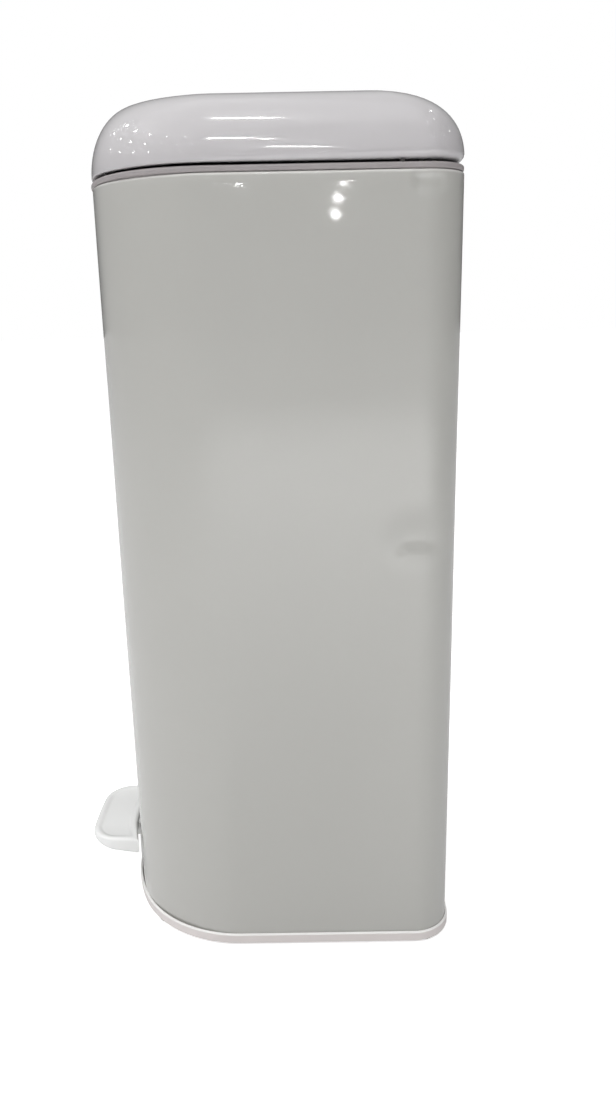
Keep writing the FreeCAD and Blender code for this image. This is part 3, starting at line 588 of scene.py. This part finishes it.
for vertex in tread.data.vertices:
    x, y = vertex.co.x, vertex.co.y
    near_tip = min(1, max(0, 1 - (y - tip_y) / tread_corner))
    near_root = max(0, (y - tip_y - tread_corner) / (root_y - tip_y - tread_corner))
    root_arc = root_bow - math.sqrt(root_bow ** 2 - x ** 2)
    vertex.co.y += near_tip * tip_bow * (x / tread_half) ** 2 + near_root * root_arc
    vertex.co.x -= x / tread_half * tread_narrowing * (root_y - y) / (root_y - tip_y)
    if vertex.co.z < tread_high.z - tip_depth / 2:
        vertex.co.z = skirt_z(vertex.co.y) + skirt_round
    else:
        vertex.co.z = tread_high.z - top_round


def roll_over(radius, steps):
    """Rounds off the selected faces' outline by a quarter circle."""
    for step in range(steps):
        start = math.pi / 2 * step / steps
        end = math.pi / 2 * (step + 1) / steps
        bpy.ops.mesh.inset(thickness=radius * (math.cos(start) - math.cos(end)),
                           depth=radius * (math.sin(end) - math.sin(start)))


bpy.ops.object.mode_set(mode="EDIT")
pick(lambda middle, normal: normal.z > 0.9, "FACE")
roll_over(top_round, 6)
bpy.ops.mesh.inset(thickness=bead - top_round - 0.001)
for depth in (-0.0002, -0.0004, -0.0004, -0.0002):
    bpy.ops.mesh.inset(thickness=dish_step, depth=depth)
pick(lambda middle, normal: normal.z < -0.9, "FACE")
roll_over(skirt_round, 6)
bpy.ops.mesh.inset(thickness=0.0008)
bpy.ops.mesh.extrude_region_move(TRANSFORM_OT_translate={"value": (0, 0, 0.001)})
bpy.ops.transform.resize(value=(1, 1, 0), center_override=(0, 0, tread_ceiling))
bpy.ops.mesh.select_all(action="SELECT")
bpy.ops.mesh.normals_make_consistent(inside=False)
bpy.ops.object.mode_set(mode="OBJECT")

pedal_plastic, tree, shader = new_material("pedal_white_plastic", (0.87, 0.875, 0.87), 0.3)
two_tones(tree, noise(tree, 25), (0.86, 0.862, 0.855), (0.885, 0.89, 0.885),
          shader.inputs["Base Color"])
vary_roughness(tree, shader, noise(tree, 90), 0.29, 0.4)
bumped(tree, shader, noise(tree, 1500, detail=1), 0.00001, 0.5)
shader.inputs["Coat Weight"].default_value = 1.0
shader.inputs["Coat Roughness"].default_value = 0.06
finished(tread, "pedal", "pedal_plastic", pedal_plastic, "pedal_cover")


# ---- Collar, base, hinge block and slot frame --------------------------------------------
# Plain mouldings. The collar and the hinge block are a warm grey, darker than the lid partly as painted
# shade from the lid's overhang; the base is paler with a painted highlight along its top edge, and the
# frame round the slot is the pedal's white plastic. Rail, damper and grip are black, and the bracket
# under the lid is a darker grey.
def dressed(material, *names):
    """Gives these parts of the frame this material."""
    for name in names:
        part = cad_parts[name]
        part.data.materials.clear()
        part.data.materials.append(material)


# The collar's grey is darker than the lid's: partly its own tone, partly painted shade from the lid's
# overhang. The hinge block uses it too.
collar_plastic, tree, shader = new_material("collar_plastic", (0.33, 0.305, 0.308), 0.35)
two_tones(tree, noise(tree, 30), (0.318, 0.293, 0.296), (0.342, 0.317, 0.320),
          shader.inputs["Base Color"])
vary_roughness(tree, shader, noise(tree, 120), 0.3, 0.45)
bumped(tree, shader, noise(tree, 1500, detail=1), 0.000012, 0.5)
dressed(collar_plastic, "collar_ring", "hinge_housing")
dressed(pedal_plastic, "slot_trim")

base_plastic, tree, shader = new_material("base_plastic", (0.7, 0.655, 0.645), 0.3)
two_tones(tree, noise(tree, 30), (0.68, 0.636, 0.625), (0.72, 0.675, 0.665),
          shader.inputs["Base Color"])
vary_roughness(tree, shader, noise(tree, 120), 0.29, 0.42)
bumped(tree, shader, noise(tree, 1500, detail=1), 0.000012, 0.5)
ring_top = ring_underside + 0.0085
# Painted highlight: the ring's top edge is lightened, standing in for light falling on it from above.
painted_highlight_band(tree, shader, ring_top - 0.0014, ring_top - 0.0005, (0.86, 0.85, 0.84))
dressed(base_plastic, "base_tray")

black_plastic, tree, shader = new_material("black_plastic", (0.02, 0.02, 0.021), 0.45)
two_tones(tree, noise(tree, 50), (0.016, 0.016, 0.017), (0.028, 0.028, 0.029),
          shader.inputs["Base Color"])
vary_roughness(tree, shader, noise(tree, 200), 0.38, 0.55)
bumped(tree, shader, noise(tree, 1800, detail=1), 0.00002, 0.6)
dressed(black_plastic, "rod_rail", "damper_cylinder", "bail_grip")

bracket_plastic, tree, shader = new_material("bracket_plastic", (0.33, 0.32, 0.325), 0.42)
two_tones(tree, noise(tree, 40), (0.31, 0.30, 0.305), (0.35, 0.34, 0.345),
          shader.inputs["Base Color"])
vary_roughness(tree, shader, noise(tree, 150), 0.36, 0.5)
bumped(tree, shader, noise(tree, 1600, detail=1), 0.000015, 0.6)
dressed(bracket_plastic, "lid_bracket")

# ---- Rubber feet and bumpers -------------------------------------------------------------
# Dull dark rubber, pressed into the base and the collar.
foot_rubber, tree, shader = new_material("foot_rubber", (0.035, 0.034, 0.033), 0.8)
two_tones(tree, noise(tree, 90), (0.028, 0.027, 0.026), (0.05, 0.048, 0.046),
          shader.inputs["Base Color"])
vary_roughness(tree, shader, noise(tree, 300), 0.7, 0.9)
bumped(tree, shader, noise(tree, 2500), 0.00004, 0.7)
dressed(foot_rubber, "foot_pads", "lid_bumpers")

# ---- Bucket ------------------------------------------------------------------------------
# Injection-moulded liner in mid grey, a little glossy outside and scuffed by use.
bucket_plastic, tree, shader = new_material("bucket_plastic", (0.17, 0.17, 0.175), 0.4)
two_tones(tree, noise(tree, 25, (1, 1, 0.25)), (0.15, 0.15, 0.155), (0.19, 0.19, 0.195),
          shader.inputs["Base Color"])
vary_roughness(tree, shader, noise(tree, 60, (1, 1, 0.15)), 0.32, 0.52)
bumped(tree, shader, noise(tree, 1200, detail=1), 0.00002, 0.5)
dressed(bucket_plastic, "inner_bucket")

# ---- Metal and nylon works ---------------------------------------------------------------
# Zinc-plated sheet and screws, drawn bright wire and pins, and milky nylon wear parts.
zinc_steel, tree, shader = new_material("zinc_steel", (0.62, 0.62, 0.60), 0.4, metallic=1.0)
two_tones(tree, noise(tree, 160), (0.52, 0.52, 0.49), (0.68, 0.69, 0.68),
          shader.inputs["Base Color"])
vary_roughness(tree, shader, noise(tree, 260), 0.32, 0.5)
bumped(tree, shader, noise(tree, 900), 0.00001, 0.5)
dressed(zinc_steel, "base_screws", "lid_screws", "hinge_screws", "pedal_screws",
        "damper_link", "pedal_lever", "pivot_clips")

bright_steel, tree, shader = new_material("bright_steel", (0.72, 0.72, 0.71), 0.22, metallic=1.0)
two_tones(tree, noise(tree, 200, (1, 1, 0.1)), (0.66, 0.66, 0.65), (0.76, 0.76, 0.75),
          shader.inputs["Base Color"])
vary_roughness(tree, shader, noise(tree, 300, (1, 1, 0.1)), 0.16, 0.3)
bumped(tree, shader, noise(tree, 1200, (1, 1, 0.1)), 0.000006, 0.5)
dressed(bright_steel, "hinge_pin", "push_rod", "damper_piston", "pivot_pin", "bail_handle")

nylon, tree, shader = new_material("nylon", (0.72, 0.70, 0.64), 0.42)
two_tones(tree, noise(tree, 80), (0.69, 0.67, 0.60), (0.75, 0.73, 0.68),
          shader.inputs["Base Color"])
vary_roughness(tree, shader, noise(tree, 200), 0.35, 0.5)
bumped(tree, shader, noise(tree, 1600, detail=1), 0.00001, 0.5)
shader.inputs["Subsurface Weight"].default_value = 0.2
shader.inputs["Subsurface Scale"].default_value = 0.002
dressed(nylon, "rod_cap", "damper_cap", "pivot_bush")
